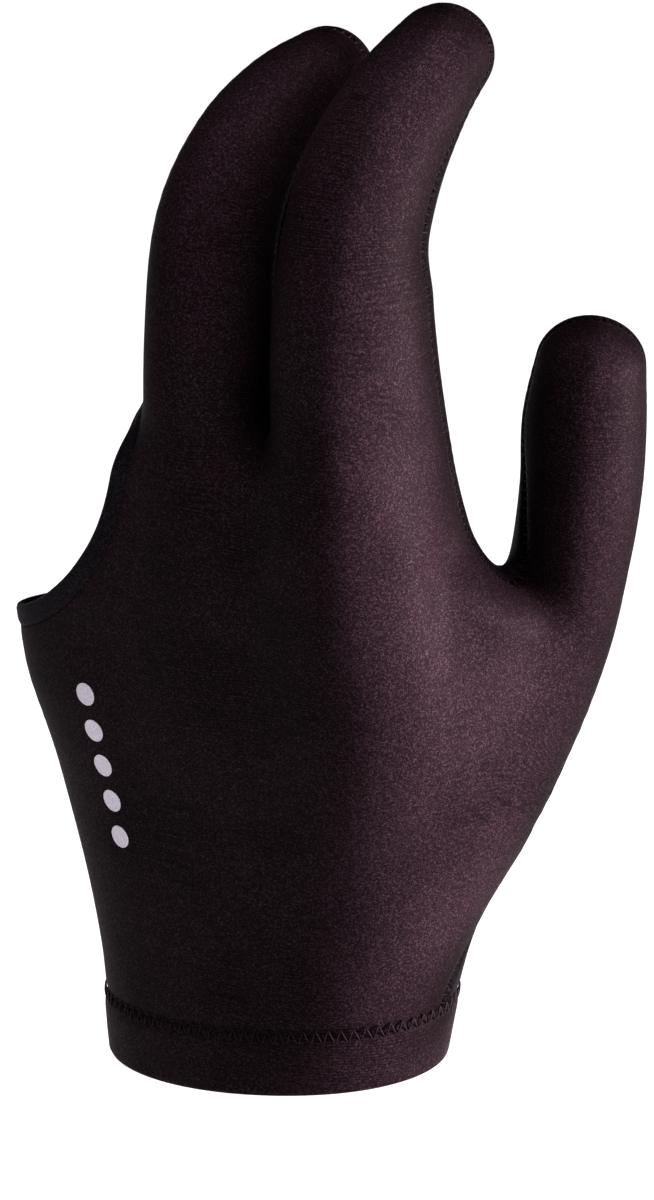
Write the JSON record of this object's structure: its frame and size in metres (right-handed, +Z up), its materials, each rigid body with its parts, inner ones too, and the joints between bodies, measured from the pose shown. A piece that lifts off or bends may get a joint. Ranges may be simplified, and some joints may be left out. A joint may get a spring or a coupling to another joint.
{
  "type": "billiard glove",
  "caption": "Stretch-cloth cue glove for the left hand: closed thumb, index and middle fingers, a side cut-out for the other fingers, and a folded, zigzag-stitched wrist hem.",
  "frame": {"origin": "middle of the wrist opening, in the plane of its rim", "axes": "+Z up the hand to the fingertips, the back of the hand faces -Y, the palm faces +Y and the thumb is on the +X side"},
  "size_m": [0.101, 0.0617, 0.1851],
  "materials": {
    "back_cloth": "black stretch knit with a soft sheen",
    "palm_cloth": "black stretch knit, a little bluer and duller",
    "hem_cloth": "black stretch knit, doubled and stitched",
    "edge_cloth": "black stretch knit, turned edge",
    "thread": "black sewing thread",
    "print": "pale grey print film"
  },
  "bodies": {
    "root": {"back_panel": "back_cloth", "palm_panel": "palm_cloth", "wrist_hem": "hem_cloth", "opening_hem": "edge_cloth"}
  },
  "joints": []
}
